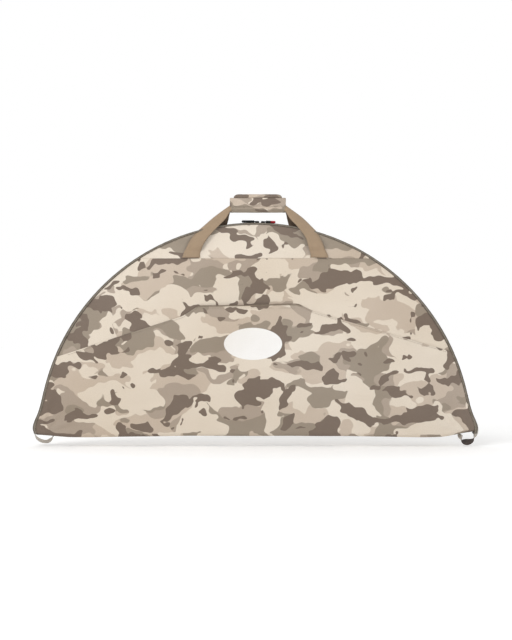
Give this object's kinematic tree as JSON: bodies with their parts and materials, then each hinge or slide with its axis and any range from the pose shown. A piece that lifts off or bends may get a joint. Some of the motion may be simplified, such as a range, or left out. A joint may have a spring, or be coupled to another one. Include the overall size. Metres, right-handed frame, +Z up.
{
  "type": "folding changing mat bag",
  "caption": "Half-moon camouflage carry bag: a round padded mat folded in half and zipped round its edge, with a front pocket and twin handles joined by a wrapped grip.",
  "frame": {"origin": "middle of the underside of the grip, where a hand carries the closed bag", "axes": "+X along the fold to the viewer's right, -Y out of the front with the pocket, +Z up"},
  "size_m": [1.195, 0.0598, 0.677],
  "materials": {
    "camo_fabric": "printed woven polyester, matt",
    "eva_foam": "closed-cell foam sheet",
    "lining_fabric": "coated lining cloth, satin",
    "binding_tape": "woven binding tape",
    "zip_tape": "zip tape with nylon coil",
    "handle_webbing": "38 mm polypropylene webbing",
    "loop_webbing": "25 mm webbing",
    "slider_metal": "black painted die-cast zip slider",
    "pull_rubber": "moulded rubber pull"
  },
  "bodies": {
    "fold": {"fold_spine": "camo_fabric", "fold_lining": "lining_fabric", "left_fold_end": "camo_fabric", "right_fold_end": "camo_fabric", "left_corner_loop": "loop_webbing", "right_corner_loop": "loop_webbing"},
    "front_half": {"front_main_panel": "camo_fabric", "front_yoke_panel": "camo_fabric", "front_pocket_panel": "camo_fabric", "front_foam_pad": "eva_foam", "front_lining": "lining_fabric", "front_edge_binding": "binding_tape", "front_zip_tape": "zip_tape", "front_left_handle_anchor": "handle_webbing", "front_right_handle_anchor": "handle_webbing"},
    "back_half": {"back_main_panel": "camo_fabric", "back_yoke_panel": "camo_fabric", "back_foam_pad": "eva_foam", "back_lining": "lining_fabric", "back_edge_binding": "binding_tape", "back_zip_tape": "zip_tape", "back_left_handle_anchor": "handle_webbing", "back_right_handle_anchor": "handle_webbing"},
    "front_handle": {"front_handle_webbing": "handle_webbing", "front_grip_pad": "camo_fabric"},
    "back_handle": {"back_handle_webbing": "handle_webbing", "back_grip_pad": "camo_fabric"},
    "grip_flap": {"grip_flap": "camo_fabric"},
    "left_slider": {"left_slider_body": "slider_metal"},
    "right_slider": {"right_slider_body": "slider_metal"},
    "left_pull": {"left_pull_tab": "slider_metal", "left_pull_grip": "pull_rubber"},
    "right_pull": {"right_pull_tab": "slider_metal", "right_pull_grip": "pull_rubber"}
  },
  "joints": [
    {"name": "front_half_opening", "type": "hinge", "parent": "fold", "child": "front_half", "pos_m": [0, -0.025, -0.6], "axis": [1, 0, 0], "range_deg": [0, 90]},
    {"name": "back_half_opening", "type": "hinge", "parent": "fold", "child": "back_half", "pos_m": [0, 0.025, -0.6], "axis": [-1, 0, 0], "range_deg": [0, 90]},
    {"name": "front_handle_swing", "type": "hinge", "parent": "front_half", "child": "front_handle", "pos_m": [0, -0.0216, -0.1065], "axis": [1, 0, 0], "range_deg": [0, 168]},
    {"name": "back_handle_swing", "type": "hinge", "parent": "back_half", "child": "back_handle", "pos_m": [0, 0.0216, -0.1065], "axis": [-1, 0, 0], "range_deg": [0, 168]},
    {"name": "grip_flap_opening", "type": "hinge", "parent": "back_handle", "child": "grip_flap", "pos_m": [0, 0.0145, 0.0395], "axis": [-1, 0, 0], "range_deg": [0, 135]},
    {"name": "left_slider_travel", "type": "hinge", "parent": "back_half", "child": "left_slider", "pos_m": [0, 0, -0.612], "axis": [0, -1, 0], "range_deg": [0, 71]},
    {"name": "left_pull_swing", "type": "hinge", "parent": "left_slider", "child": "left_pull", "pos_m": [0.00529, 0, -0.02602], "axis": [0, 1, 0], "range_deg": [0, 35]},
    {"name": "right_slider_travel", "type": "hinge", "parent": "back_half", "child": "right_slider", "pos_m": [0, 0, -0.612], "axis": [0, 1, 0], "range_deg": [0, 68.4]},
    {"name": "right_pull_swing", "type": "hinge", "parent": "right_slider", "child": "right_pull", "pos_m": [0.02092, 0, -0.02637], "axis": [0, -1, 0], "range_deg": [0, 35]}
  ]
}
